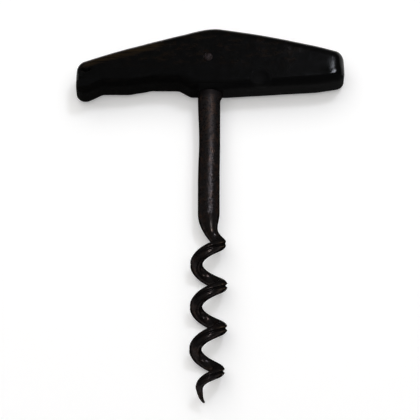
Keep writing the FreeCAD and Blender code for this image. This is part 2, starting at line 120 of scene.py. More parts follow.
class Scalar(Wire):
    """A number inside a node tree that follows Python's own arithmetic."""

    def _math(self, operation: str, *others: Number) -> "Scalar":
        """The result of a Math node with this number first."""
        node = add_node(self.tree, "ShaderNodeMath", dict(enumerate((self, *others))), operation=operation)
        return Scalar(self.tree, node.outputs[0])

    def __add__(self, other: Number) -> "Scalar":
        """Adds."""
        return self._math("ADD", other)

    def __sub__(self, other: Number) -> "Scalar":
        """Subtracts."""
        return self._math("SUBTRACT", other)

    def __rsub__(self, other: Number) -> "Scalar":
        """Subtracts from a plain number."""
        return self * -1.0 + other

    def __mul__(self, other: Number) -> "Scalar":
        """Multiplies."""
        return self._math("MULTIPLY", other)

    def __truediv__(self, other: Number) -> "Scalar":
        """Divides."""
        return self._math("DIVIDE", other)

    __radd__ = __add__
    __rmul__ = __mul__

    def power(self, exponent: Number) -> "Scalar":
        """Raises to a power."""
        return self._math("POWER", exponent)

    def sine(self) -> "Scalar":
        """Sine of an angle in radians."""
        return self._math("SINE")

    def cosine(self) -> "Scalar":
        """Cosine of an angle in radians."""
        return self._math("COSINE")

    def size(self) -> "Scalar":
        """The value without its sign."""
        return self._math("ABSOLUTE")

    def root(self) -> "Scalar":
        """Square root."""
        return self._math("SQRT")

    def over(self, limit: Number) -> "Scalar":
        """1 where the value is greater than the limit, and 0 elsewhere."""
        return self._math("GREATER_THAN", limit)

    def at_least(self, limit: Number) -> "Scalar":
        """The greater of the value and the limit."""
        return self._math("MAXIMUM", limit)

    def at_most(self, limit: Number) -> "Scalar":
        """The lesser of the value and the limit."""
        return self._math("MINIMUM", limit)

    def between(self, first: Number, second: Number) -> "Scalar":
        """Goes from the first value to the second as this one goes from 0 to 1."""
        return (second - first if isinstance(second, Scalar) else first * -1.0 + second) * self + first


class Triple(Wire):
    """A vector inside a node tree."""

    @classmethod
    def of(cls, tree: NodeTree, x: Number, y: Number, z: Number) -> "Triple":
        """A vector made of its three parts."""
        return cls(tree, add_node(tree, "ShaderNodeCombineXYZ", {0: x, 1: y, 2: z}).outputs[0])

    def _math(self, operation: str, *others: object) -> Node:
        """A Vector Math node with this vector first."""
        inputs = dict(enumerate((self, *others)))
        return add_node(self.tree, "ShaderNodeVectorMath", inputs, operation=operation)

    def __add__(self, other: "Triple") -> "Triple":
        """Adds."""
        return Triple(self.tree, self._math("ADD", other).outputs[0])

    def __sub__(self, other: "Triple") -> "Triple":
        """Subtracts."""
        return Triple(self.tree, self._math("SUBTRACT", other).outputs[0])

    def scaled(self, factor: Number) -> "Triple":
        """Multiplies by a number."""
        node = add_node(self.tree, "ShaderNodeVectorMath", {0: self, "Scale": factor}, operation="SCALE")
        return Triple(self.tree, node.outputs[0])

    def unit(self) -> "Triple":
        """The vector at length 1."""
        return Triple(self.tree, self._math("NORMALIZE").outputs[0])

    def cross(self, other: "Triple") -> "Triple":
        """Cross product."""
        return Triple(self.tree, self._math("CROSS_PRODUCT", other).outputs[0])

    def dot(self, other: "Triple") -> Scalar:
        """Dot product."""
        return Scalar(self.tree, self._math("DOT_PRODUCT", other).outputs["Value"])

    def distance(self, place: Place) -> Scalar:
        """Distance to a fixed place."""
        return Scalar(self.tree, self._math("DISTANCE", place).outputs["Value"])

    def stretched(self, factors: Place) -> "Triple":
        """Multiplies each part by its own factor."""
        return Triple(self.tree, self._math("MULTIPLY", factors).outputs[0])

    def parts(self) -> list[Scalar]:
        """The three parts as numbers."""
        node = add_node(self.tree, "ShaderNodeSeparateXYZ", {0: self})
        return [Scalar(self.tree, socket) for socket in node.outputs]


@dataclass(frozen=True)
class Ramp:
    """A rise or fall from low to high while another value goes from start to end, level outside them."""

    start: float
    end: float
    low: float = 0.0
    high: float = 1.0
    kind: Mapped = Mapped.SMOOTH

    def of(self, value: Scalar) -> Scalar:
        """Lays the ramp over a value.

        Args:
            value: the value that goes from start to end.

        Returns:
            The ramp's height at the value.
        """
        inputs = dict(enumerate((value, self.start, self.end, self.low, self.high)))
        settings = {"interpolation_type": self.kind.value, "clamp": True}
        return Scalar(value.tree, add_node(value.tree, "ShaderNodeMapRange", inputs, **settings).outputs[0])


RISE = Ramp(0.0, 1.0)


@dataclass(frozen=True)
class Pattern:
    """A cloudy pattern about 0.5, with a fixed seed, laid over millimetres that may be stretched first."""

    scale: float
    detail: float
    roughness: float
    seed: float
    stretch: Place = (1.0, 1.0, 1.0)

    def on(self, place: Triple) -> Scalar:
        """Lays the pattern over places.

        Args:
            place: the places in millimetres.

        Returns:
            The pattern's value there.
        """
        inputs = {"Vector": place.stretched(self.stretch), "W": self.seed, "Scale": self.scale,
                  "Detail": self.detail, "Roughness": self.roughness}
        node = add_node(place.tree, "ShaderNodeTexNoise", inputs, noise_dimensions="4D")
        return Scalar(place.tree, node.outputs[0])

    def swing(self, place: Triple) -> Scalar:
        """The pattern as a swing between -1 and 1."""
        return (self.on(place) - 0.5) * 2.0


# Places taken from the frame
def box_mm(node: str) -> tuple[Vector, Vector]:
    """Lowest and highest corner of a node, in millimetres."""
    low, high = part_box(node)
    return low / MM, high / MM


def box_middle(node: str) -> Vector:
    """The middle of a node's box, in millimetres."""
    low, high = box_mm(node)
    return (low + high) / 2.0


@dataclass(frozen=True)
class Datum:
    """Sizes that place the seat, from which the pieces are measured."""

    pin_left: float = 0.3
    tang_length: float = 15.0

    def seat(self) -> Vector:
        """Finds where the shank's axis meets the handle's underside.

        Returns:
            The place in millimetres of the frame.
        """
        across = box_middle("cross_pin").x + self.pin_left
        along = box_mm("shank_and_worm")[1].y - self.tang_length
        return Vector((across, along, box_middle("handle").z))


SEAT = Datum().seat()
PIN = box_middle("cross_pin") - SEAT
FACE = box_mm("handle")[1].z - SEAT.z


# Finishes
class Paint:
    """A material's node tree with its Principled shader, and the object's own millimetres as coordinates."""

    def __init__(self, name: str) -> None:
        """Makes the material with its coordinates.

        Args:
            name: the material's name.
        """
        self.material = bpy.data.materials.new(name)
        self.material.use_nodes = True
        self.tree = self.material.node_tree
        self.shader = self.tree.nodes["Principled BSDF"]
        place = self.tree.nodes.new("ShaderNodeTexCoord").outputs["Object"]
        inputs = {"Vector": place, "Scale": (1.0 / MM,) * 3, "Location": -SEAT}
        self.place = Triple(self.tree, add_node(self.tree, "ShaderNodeMapping", inputs).outputs[0])

    def attribute(self, name: str) -> Scalar:
        """The value of one of the piece's own attributes."""
        node = add_node(self.tree, "ShaderNodeAttribute", {}, attribute_name=name)
        return Scalar(self.tree, node.outputs["Fac"])

    def mix(self, share: Number, first: object, second: object) -> NodeSocket:
        """Mixes two colours.

        Args:
            share: 0 for the first colour, 1 for the second.
            first: a colour or a colour socket.
            second: a colour or a colour socket.

        Returns:
            The mixed colour's socket.
        """
        node = add_node(self.tree, "ShaderNodeMix", {"Factor": share}, data_type="RGBA")
        for name, value in (("A", first), ("B", second)):
            socket = [item for item in node.inputs if item.name == name and item.type == "RGBA"][0]
            feed(self.tree, socket, (*value, 1.0) if isinstance(value, tuple) else value)
        return [item for item in node.outputs if item.type == "RGBA"][0]

    def relief(self, height: Scalar, depth_mm: float, under: Optional[NodeSocket] = None) -> NodeSocket:
        """Turns a height pattern into a bump.

        Args:
            height: the pattern, from 0 to 1.
            depth_mm: what a step of 1 stands for.
            under: the normal of a coarser bump below this one.

        Returns:
            The normal's socket.
        """
        inputs = {"Height": height, "Distance": depth_mm * MM}
        if under is not None:
            inputs["Normal"] = under
        return add_node(self.tree, "ShaderNodeBump", inputs).outputs[0]

    def finish(self, colour: object, roughness: Number, normal: NodeSocket, gloss: float,
               metal: float = 0.0, edge: float = 1.0) -> Material:
        """Feeds the shader.

        Args:
            colour: the base colour's socket.
            roughness: the roughness.
            normal: the bumped normal's socket.
            gloss: the shader's specular level.
            metal: the shader's metallic share.
            edge: how brightly a metal mirrors at a flat angle.

        Returns:
            The material.
        """
        values = {"Base Color": colour, "Roughness": roughness, "Normal": normal, "Metallic": metal,
                  "Specular IOR Level": gloss, "Specular Tint": (edge, edge, edge, 1.0)}
        for name, value in values.items():
            feed(self.tree, self.shader.inputs[name], value)
        return self.material


@dataclass(frozen=True)
class HornFinish:
    """Black horn, polished by use, with brown clouds and an ochre streak near the left of the top edge, and
    painted light: ochre along every edge that faces the crown, where the top edge lets light in.
    """

    black: Colour = (0.0012, 0.0012, 0.0012)
    brown: Colour = (0.0048, 0.0028, 0.0016)
    ochre_and_edge_light: Colour = (0.0130, 0.0080, 0.0034)
    scratched: Colour = (0.0075, 0.0070, 0.0062)
    crater_dust_and_light: Colour = (0.0026, 0.0025, 0.0024)
    shaded: Colour = (0.0, 0.0, 0.0)

    clouds: Pattern = Pattern(1.0, 5.0, 0.65, 3.0, (0.30, 0.70, 0.5))
    cloud_share: Ramp = Ramp(0.47, 0.64)
    cloud_height: Ramp = Ramp(5.0, 10.0)
    cloud_spread: Ramp = Ramp(24.0, 34.0, 1.0, 0.0)
    grain: Pattern = Pattern(1.0, 3.0, 0.6, 7.0, (0.12, 1.4, 1.4))
    grain_share: Ramp = Ramp(0.3, 0.6)
    wear: Pattern = Pattern(0.35, 5.0, 0.6, 11.0)
    wear_depth: float = 0.012
    furrows: Pattern = Pattern(1.0, 4.0, 0.7, 5.0, (1.0, 6.0, 6.0))
    furrow_depth: float = 0.008

    flank_slope: float = 0.32
    streak_floor: Ramp = Ramp(-36.0, -18.0, 17.9, 17.4)
    streak_edge: Ramp = Ramp(0.0, 1.3)
    streak_start: Ramp = Ramp(-41.0, -37.0)
    streak_end: Ramp = Ramp(-16.5, -13.0, 1.0, 0.0)
    lit_top_edge_share: float = 0.7

    gloss: float = 0.085
    handled: float = 0.16
    matt: float = 0.95
    uneven: float = 0.12
    right_end: Ramp = Ramp(32.5, 37.5)
    right_end_polish: Ramp = Ramp(5.6, 8.0, 0.11, 0.21)
    polish_floor: float = 1.15
    polish_climb: Ramp = Ramp(6.0, 42.0, 0.0, 3.5, Mapped.STRAIGHT)
    polish_lift: Ramp = Ramp(-9.0, -5.5, 1.2, 0.0)
    shade_top: Ramp = Ramp(1.2, 1.0)
    shade_bottom: Ramp = Ramp(-2.4, -1.2)
    shade_reach: Ramp = Ramp(2.0, 8.0, 0.0, 0.8)

    crater: Place = (16.0, 2.8, 5.0)
    crater_dust_and_light_reach: Ramp = Ramp(3.1, 2.17)
    crater_lit_side: Ramp = Ramp(14.5, 17.5, 1.0, 0.0)
    crater_reach: float = 3.3
    crater_roughness: float = 0.85
    chip: Place = (-38.2, 5.4, 5.0)
    chip_reach: Ramp = Ramp(2.6, 2.34)
    chip_depth: Ramp = Ramp(5.51, 5.42)

    scratch_place: tuple[float, float] = (23.9, 4.6)
    scratch_slope: float = 0.35
    scratch_bend: float = 0.07
    scratch_width: Ramp = Ramp(0.02, 0.16, 1.0, 0.0)
    scratch_start: Ramp = Ramp(4.4, 5.6)
    scratch_end: Ramp = Ramp(8.6, 9.8, 0.7, 0.0)

    def _colour(self, paint: Paint, above: Scalar) -> NodeSocket:
        """Mixes the horn's colours.

        Args:
            paint: the material.
            above: height above the lower edge of the polished face.

        Returns:
            The colour's socket.
        """
        x, y, _ = paint.place.parts()
        clouded = self.cloud_share.of(self.clouds.on(paint.place))
        clouded = clouded * (self.cloud_height.of(y) * self.cloud_spread.of(x.size()))
        colour = paint.mix(clouded, self.black, self.brown)
        streak_and_edge_light = self.streak_edge.of(y + x.size() * self.flank_slope - self.streak_floor.of(x))
        streak_and_edge_light = streak_and_edge_light * self.streak_start.of(x) * self.streak_end.of(x)
        # Painted light: every edge that faces the crown is tinted ochre, as light through the thin horn
        # there.
        streak_and_edge_light = streak_and_edge_light.at_least(paint.attribute("lit_top_edge") * self.lit_top_edge_share)
        grain = self.grain_share.of(self.grain.on(paint.place))
        colour = paint.mix(streak_and_edge_light * grain, colour, self.ochre_and_edge_light)
        shade = self.shade_top.of(above) * self.shade_bottom.of(above) * self.shade_reach.of(x)
        colour = paint.mix(shade, colour, self.shaded)
        # Painted light and dust: the crater's left half is paler, as its lit wall over pale dust, and its
        # right half stays dark.
        dust_and_light = self.crater_dust_and_light_reach.of(paint.place.distance(self.crater)) * self.crater_lit_side.of(x)
        colour = paint.mix(dust_and_light, colour, self.crater_dust_and_light)
        start_x, start_y = self.scratch_place
        up = y - start_y
        aside = (up * self.scratch_slope + up * up * self.scratch_bend + start_x - x).size()
        scratch = self.scratch_width.of(aside) * self.scratch_start.of(y) * self.scratch_end.of(y)
        return paint.mix(scratch * grain, colour, self.scratched)

    def _roughness(self, paint: Paint, above: Scalar, wear: Scalar) -> Scalar:
        """Mixes the roughness: polished face, matt underside, matt crater and chip.

        Args:
            paint: the material.
            above: height above the lower edge of the polished face.
            wear: the pattern of wear.

        Returns:
            The roughness.
        """
        x, y, z = paint.place.parts()
        polish = self.right_end.of(x).between(self.handled, self.right_end_polish.of(y))
        polish = polish + (wear - 0.5) * self.uneven
        roughness = above.over(self.polish_floor).between(self.matt, polish)
        outside = paint.place.distance(self.crater).over(self.crater_reach)
        roughness = outside.between(self.crater_roughness, roughness)
        chipped = self.chip_reach.of(paint.place.distance(self.chip)) * self.chip_depth.of(z)
        return chipped.between(roughness, self.matt)

    def build(self) -> Material:
        """Makes the horn's material.

        Returns:
            The material.
        """
        paint = Paint("black_horn")
        x, y, _ = paint.place.parts()
        above = y - self.polish_climb.of(x) - self.polish_lift.of(x)
        wear = self.wear.on(paint.place)
        colour, roughness = self._colour(paint, above), self._roughness(paint, above, wear)
        coarse = paint.relief(wear, self.wear_depth)
        normal = paint.relief(self.furrows.on(paint.place), self.furrow_depth, coarse)
        return paint.finish(colour, roughness, normal, self.gloss)


@dataclass(frozen=True)
class GnawedFinish:
    """Horn that is worn rough and dull along the hollow of the underside."""

    black: Colour = (0.0019, 0.0018, 0.0017)
    brown: Colour = (0.0042, 0.0036, 0.0031)
    clouds: Pattern = Pattern(0.7, 4.0, 0.6, 14.0)
    cloud_share: Ramp = Ramp(0.5, 0.68)
    cloud_roughness: Ramp = Ramp(0.3, 0.7, 0.9, 1.0)
    furrows: Pattern = Pattern(0.9, 4.0, 0.7, 15.0, (1.0, 5.0, 5.0))
    furrow_depth: float = 0.12
    gloss: float = 0.02

    def build(self) -> Material:
        """Makes the worn horn's material.

        Returns:
            The material.
        """
        paint = Paint("gnawed_horn")
        clouds = self.clouds.on(paint.place)
        colour = paint.mix(self.cloud_share.of(clouds), self.black, self.brown)
        normal = paint.relief(self.furrows.on(paint.place), self.furrow_depth)
        return paint.finish(colour, self.cloud_roughness.of(clouds), normal, self.gloss)


@dataclass(frozen=True)
class IronFinish:
    """Old iron with a dark brown skin, pitted with rust and rubbed bright on its lips, with painted shade in
    the groove and on the top of the shank under the handle.
    """

    skin: Colour = (0.0235, 0.0208, 0.0205)
    rust: Colour = (0.0365, 0.0245, 0.0196)
    black: Colour = (0.0102, 0.0090, 0.0092)
    rubbed: Colour = (0.0900, 0.0680, 0.0480)
    gloss: float = 0.0
    metal: float = 0.75
    edge: float = 0.0

    blotches: Pattern = Pattern(0.55, 4.0, 0.6, 21.0)
    rust_share: Ramp = Ramp(0.47, 0.61)
    specks: Pattern = Pattern(1.5, 4.0, 0.65, 4.0)
    speck_share: Ramp = Ramp(0.50, 0.60)
    speck_roughness: Ramp = Ramp(0.35, 0.65)
    speck_depth: float = 0.11
    pits: Pattern = Pattern(5.0, 3.0, 0.6, 9.0)
    pit_depth: float = 0.045

    to_worm: Ramp = Ramp(-40.0, -46.0)
    down_shank: Ramp = Ramp(-8.0, -26.0)
    smooth_top: float = 0.42
    smooth_low: float = 0.17
    rough_top: float = 0.50
    rough_low: float = 0.34
    rough_worm: float = 0.28
    worm_rust: float = 0.6
    worm_specks: float = 0.85
    worm_bumps: float = 0.35
    worm_pits: float = 0.3

    # Painted shade: the top of the shank just under the handle is mixed towards black, where the handle's
    # overhang shades it.
    shade_under_handle: Ramp = Ramp(-2.6, -1.2, 0.0, 0.85)
    seated_roughness: float = 0.6
    # Painted shade: the groove's floor is mixed towards black.
    groove_shade_share: Ramp = Ramp(0.1, 0.7, 0.0, 0.7)
    lip_side: Ramp = Ramp(2.0, 4.5)
    lip_share: Ramp = Ramp(0.4, 0.55)

    def build(self) -> Material:
        """Makes the iron's material.

        Returns:
            The material.
        """
        paint = Paint("rusty_iron")
        across, height, _ = paint.place.parts()
        worm, used, shade_under_handle = self.to_worm.of(height), self.down_shank.of(height), self.shade_under_handle.of(height)
        specks = self.specks.on(paint.place)
        rusted = self.rust_share.of(self.blotches.on(paint.place)) * worm.between(1.0, self.worm_rust)
        colour = paint.mix(rusted, self.skin, self.rust)
        blackened = self.speck_share.of(specks) * worm.between(1.0, self.worm_specks)
        # Mixes in black: rust specks, and painted shade in the groove and under the handle.
        for share in (blackened, self.groove_shade_share.of(paint.attribute("groove")), shade_under_handle):
            colour = paint.mix(share, colour, self.black)
        rubbed = paint.attribute("lip") * self.lip_side.of(across) * self.lip_share.of(specks)
        colour = paint.mix(rubbed, colour, self.rubbed)
        rough = worm.between(used.between(self.rough_top, self.rough_low), self.rough_worm)
        smooth = used.between(self.smooth_top, self.smooth_low)
        roughness = self.speck_roughness.of(specks).between(smooth, rough)
        coarse = paint.relief(specks * worm.between(1.0, self.worm_bumps), self.speck_depth)
        pits = self.pits.on(paint.place) * worm.between(1.0, self.worm_pits)
        normal = paint.relief(pits, self.pit_depth, coarse)
        roughness = shade_under_handle.between(roughness, self.seated_roughness)
        return paint.finish(colour, roughness, normal, self.gloss, self.metal, self.edge)


@dataclass(frozen=True)
class PinFinish:
    """The hammered end of the iron pin, brown with a trace of red."""

    brown: Colour = (0.0088, 0.0062, 0.0056)
    pale: Colour = (0.0200, 0.0168, 0.0170)
    spots: Pattern = Pattern(2.2, 3.0, 0.6, 31.0)
    spot_share: Ramp = Ramp(0.45, 0.62)
    spot_roughness: Ramp = Ramp(0.35, 0.65, 0.5, 0.25)
    spot_depth: float = 0.12
    gloss: float = 0.0
    metal: float = 0.75
    edge: float = 0.0

    def build(self) -> Material:
        """Makes the pin's material.

        Returns:
            The material.
        """
        paint = Paint("hammered_pin")
        spots = self.spots.on(paint.place)
        colour = paint.mix(self.spot_share.of(spots), self.brown, self.pale)
        normal = paint.relief(spots, self.spot_depth)
        return paint.finish(colour, self.spot_roughness.of(spots), normal, self.gloss, self.metal, self.edge)


@dataclass(frozen=True)
class TableFinish:
    """A white table top: matt, and lifted to white where only the camera or a reflection looks at it."""

    white: Colour = (0.864, 0.854, 0.840)
    lift: float = 0.26

    def build(self) -> Material:
        """Makes the table's material.

        Returns:
            The material.
        """
        material = bpy.data.materials.new("white_table")
        material.use_nodes = True
        tree = material.node_tree
        tree.nodes.clear()
        matt = add_node(tree, "ShaderNodeBsdfDiffuse", {"Color": (*self.white, 1.0)})
        path = tree.nodes.new("ShaderNodeLightPath")
        seen = Scalar(tree, path.outputs["Is Camera Ray"])
        for ray in ("Is Glossy Ray", "Is Transmission Ray"):
            seen = seen.at_least(Scalar(tree, path.outputs[ray]))
        glow = add_node(tree, "ShaderNodeEmission", {"Strength": seen * self.lift})
        both = add_node(tree, "ShaderNodeAddShader", {0: matt.outputs[0], 1: glow.outputs[0]})
        add_node(tree, "ShaderNodeOutputMaterial", {"Surface": both.outputs[0]})
        return material


# Geometry trees
class Shaping:
    """A Geometry Nodes tree that a shape runs through, with a piece's plain sizes as its named inputs.

    Its given is a copy of the piece that holds these inputs in place of the sizes.
    """

    def __init__(self, name: str, piece: object) -> None:
        """Makes the tree.

        Args:
            name: the tree's name.
            piece: a dataclass with sizes.
        """
        self.tree = bpy.data.node_groups.new(name, "GeometryNodeTree")
        add_socket = self.tree.interface.new_socket
        for side in ("OUTPUT", "INPUT"):
            add_socket("Geometry", in_out=side, socket_type="NodeSocketGeometry")
        sizes = [item.name for item in fields(piece) if isinstance(getattr(piece, item.name), float)]
        for size in sizes:
            socket = add_socket(size, in_out="INPUT", socket_type="NodeSocketFloat")
            socket.default_value = getattr(piece, size)
        entry = self.tree.nodes.new("NodeGroupInput")
        self.shape = entry.outputs["Geometry"]
        self.given = replace(piece, **{size: Scalar(self.tree, entry.outputs[size]) for size in sizes})
        self.point = Triple(self.tree, self.tree.nodes.new("GeometryNodeInputPosition").outputs[0])
        self.outward = Triple(self.tree, self.tree.nodes.new("GeometryNodeInputNormal").outputs[0])

    def step(self, kind: str, **inputs: object) -> None:
        """Runs the shape through one more node, whose other inputs get the named values."""
        self.shape = add_node(self.tree, kind, {"Geometry": self.shape, **inputs}).outputs[0]


# Meshes
def add_object(name: str, data: ID) -> Object:
    """Makes an object at the origin and links it to the scene.

    Args:
        name: the object's name.
        data: its mesh, lamp or camera.

    Returns:
        The object.
    """
    made = bpy.data.objects.new(name, data)
    bpy.context.scene.collection.objects.link(made)
    return made


def remeshed_node(name: str, node: str, voxel_mm: float) -> Object:
    """Makes a finely remeshed copy of a node's solid.

    Args:
        name: the copy's name.
        node: the node to copy.
        voxel_mm: size of the new faces.

    Returns:
        The copy, with the remesh still live.
    """
    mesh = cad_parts[node].data.copy()
    mesh.name = name
    work = bmesh.new()
    work.from_mesh(mesh)
    bmesh.ops.remove_doubles(work, verts=work.verts, dist=WELD_METRES)
    work.to_mesh(mesh)
    work.free()
    piece = add_object(name, mesh)
    remesh = piece.modifiers.new("Remesh", "REMESH")
    remesh.mode = "VOXEL"
    remesh.voxel_size = voxel_mm * MM
    return piece


def settle(piece: Object, shaping: Shaping, material: Material) -> None:
    """Ends a tree in real geometry of one material, and keeps its result as a smooth mesh facing outwards.

    Args:
        piece: the piece with the modifiers that come before the tree.
        shaping: the tree.
        material: the piece's finish.
    """
    shaping.step("GeometryNodeRealizeInstances")
    shaping.step("GeometryNodeSetMaterial", Material=material)
    add_node(shaping.tree, "NodeGroupOutput", {0: shaping.shape})
    piece.modifiers.new(shaping.tree.name, "NODES").node_group = shaping.tree
    graph = bpy.context.evaluated_depsgraph_get()
    mesh = bpy.data.meshes.new_from_object(piece.evaluated_get(graph), depsgraph=graph)
    piece.modifiers.clear()
    piece.data = mesh
    work = bmesh.new()
    work.from_mesh(mesh)
    bmesh.ops.remove_doubles(work, verts=work.verts, dist=WELD_METRES / 10.0)
    bmesh.ops.recalc_face_normals(work, faces=work.faces)
    if work.calc_volume(signed=True) < 0.0:
        bmesh.ops.reverse_faces(work, faces=work.faces)
    for face in work.faces:
        face.smooth = True
        face.material_index = 0
    work.to_mesh(mesh)
    work.free()
    mesh.materials.clear()
    mesh.materials.append(material)


def declare(piece: Object, node: str) -> None:
    """Hides the node that a finished piece replaces, hangs the piece on the root body and logs its triangle
    count.

    Args:
        piece: the piece.
        node: the node that it replaces.
    """
    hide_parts(node)
    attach(piece, "root")
    triangles = sum(len(polygon.vertices) - 2 for polygon in piece.data.polygons)
    log.info("%s: %d triangles", piece.name, triangles)


@dataclass
class HornHandle:
    """The handle: its solid shape, remeshed finely, with worn and chewed surfaces."""

    growth: Number = 0.07
    swell: Number = 0.07
    ripple: Number = 0.025
    gnaw: Number = 0.16
    uneven: Number = 0.30
    crown_start: Number = 33.8
    crown_lean: Number = 1.8
    crown_end: Number = 41.6
    crown_fall: Number = 0.84
    dome: Number = 0.004
    dome_height: Number = 5.0
    sight_slope: Number = 0.386

    swelling: Pattern = Pattern(0.12, 2.0, 0.5, 1.0)
    rippling: Pattern = Pattern(0.9, 3.0, 0.6, 2.0)
    gnawing: Pattern = Pattern(0.55, 3.0, 0.6, 8.0)
    crown_height: Ramp = Ramp(5.5, 9.0)
    crown_depth: Ramp = Ramp(5.5, 9.0, 1.0, 1.9)
    dome_reach: Ramp = Ramp(22.0, 37.0)
    from_back: Ramp = Ramp(-FACE, FACE, 0.0, 1.0, Mapped.STRAIGHT)
    clear_of_back: Ramp = Ramp(-5.4, -4.8)
    facing_down: Ramp = Ramp(-0.2, -0.7)
    hollow_top: Ramp = Ramp(2.6, 4.0, 1.0, 0.0)
    hollow_left: Ramp = Ramp(-38.5, -36.0)
    hollow_right: Ramp = Ramp(-9.0, -6.5, 1.0, 0.0)
    upper_side: Ramp = Ramp(0.2, 0.8)
    lower_side: Ramp = Ramp(-0.2, -0.8)
    left_rise: Ramp = Ramp(-20.0, -28.0, 0.0, 0.5)
    right_rise: Ramp = Ramp(27.0, 35.0, 0.0, 0.5)
    crest_left: Number = 1.3
    crest_rise: Ramp = Ramp(6.0, 3.0, 0.0, 0.5)
    hollow_step_left: Number = 20.6
    hollow_step: Ramp = Ramp(4.5, 1.5, 0.0, 0.9)
    lobe: Ramp = Ramp(-35.5, -38.5, 0.0, 0.6)
    toe: Ramp = Ramp(33.0, 37.0, 0.0, 0.5)
    pin_rim: Ramp = Ramp(1.5, 2.2, 1.0, 0.0)
    pin_rim_depth: Ramp = Ramp(4.7, 5.1)
    lit_top_edge: Ramp = Ramp(0.45, 0.85)

    VOXEL = 0.34
    DULL_LEFT = -3.2
    DULL_TOP = 4.0
    DULL_FACING = -0.4

    def _fall(self, spot: Triple) -> Scalar:
        """Works out how far the worn face falls away at the right end.

        Args:
            spot: the point's place from the seat.

        Returns:
            The fall.
        """
        x, y, z = spot.parts()
        start = self.crown_start + self.crown_height.of(y) * self.crown_lean
        along = ((x - start) / (self.crown_end - start)).at_least(0.0)
        square = along * along
        fall = square * square * self.crown_fall * self.crown_depth.of(y)
        up = y - self.dome_height
        return (fall + self.dome_reach.of(x) * up * up * self.dome) * self.from_back.of(z)

    def _push(self, spot: Triple, facing: Scalar) -> Scalar:
        """Works out how far the surface stands out of the solid's.

        Args:
            spot: the point's place from the seat.
            facing: how far the surface faces the crown.

        Returns:
            The push along the surface's direction.
        """
        x, y, z = spot.parts()
        hollow = self.facing_down.of(facing) * self.hollow_top.of(y)
        hollow = hollow * self.hollow_left.of(x) * self.hollow_right.of(x)
        push = self.swelling.swing(spot) * self.swell + self.growth
        push = push * self.clear_of_back.of(z)
        return push + self.rippling.swing(spot) * self.ripple - hollow * self.gnaw * self.gnawing.on(spot)

    def _wear(self) -> Shaping:
        """Makes the tree that presses the wear into the surface.

        Returns:
            The tree.
        """
        shaping = Shaping("horn_wear", self)
        tree, worn, normal = shaping.tree, shaping.given, shaping.outward
        spot = shaping.point.scaled(1.0 / MM) - Triple.of(tree, *SEAT)
        x, y, z = spot.parts()
        facing = normal.parts()[1]
        right, up = x - PIN.x, y - PIN.y
        rim = self.pin_rim.of((right * right + up * up).root())
        lift = (z * -1.0 + FACE + worn.growth) * rim * self.pin_rim_depth.of(z)
        above = self.left_rise.of(x) + self.right_rise.of(x)
        above = above + self.crest_rise.of((x + worn.crest_left).size())
        below = self.hollow_step.of((x + worn.hollow_step_left).size()) + self.lobe.of(x) + self.toe.of(x)
        raised = (self.upper_side.of(facing) * above + self.lower_side.of(facing) * below) * worn.uneven
        fall = worn._fall(spot)
        offset = normal.scaled(worn._push(spot, facing) * (1.0 - rim))
        offset = offset + Triple.of(tree, 0.0, fall * worn.sight_slope, fall * -1.0)
        offset = offset + Triple.of(tree, 0.0, raised, lift)
        shaping.step("GeometryNodeSetPosition", Offset=offset.scaled(MM))
        # Marks the edges that face the crown, which the shader tints with painted ochre light.
        shaping.step("GeometryNodeStoreNamedAttribute", Name="lit_top_edge", Value=self.lit_top_edge.of(facing))
        return shaping

    def build(self, material: Material, gnawed: Material) -> Object:
        """Makes the handle.

        Args:
            material: the horn's finish.
            gnawed: the duller finish of the worn wall left of the shank.

        Returns:
            The finished piece.
        """
        piece = remeshed_node("horn_handle", "handle", self.VOXEL)
        settle(piece, self._wear(), material)
        piece.data.materials.append(gnawed)
        for face in piece.data.polygons:
            spot = face.center / MM - SEAT
            if spot.x < self.DULL_LEFT and spot.y < self.DULL_TOP and face.normal.y < self.DULL_FACING:
                face.material_index = 1
        declare(piece, "handle")
        return piece


@dataclass(frozen=True)
class Station:
    """Where a point of the flat grid comes to lie on the iron piece."""

    along: Scalar
    angle: Scalar
    height: Scalar
    beside_waist: Scalar
    turn: Scalar
    in_coil: Scalar

    def choose(self, straight: Triple, coiled: Triple) -> Triple:
        """Picks the first vector on the straight part, and the second in the coil."""
        return straight.scaled(1.0 - self.in_coil) + coiled.scaled(self.in_coil)


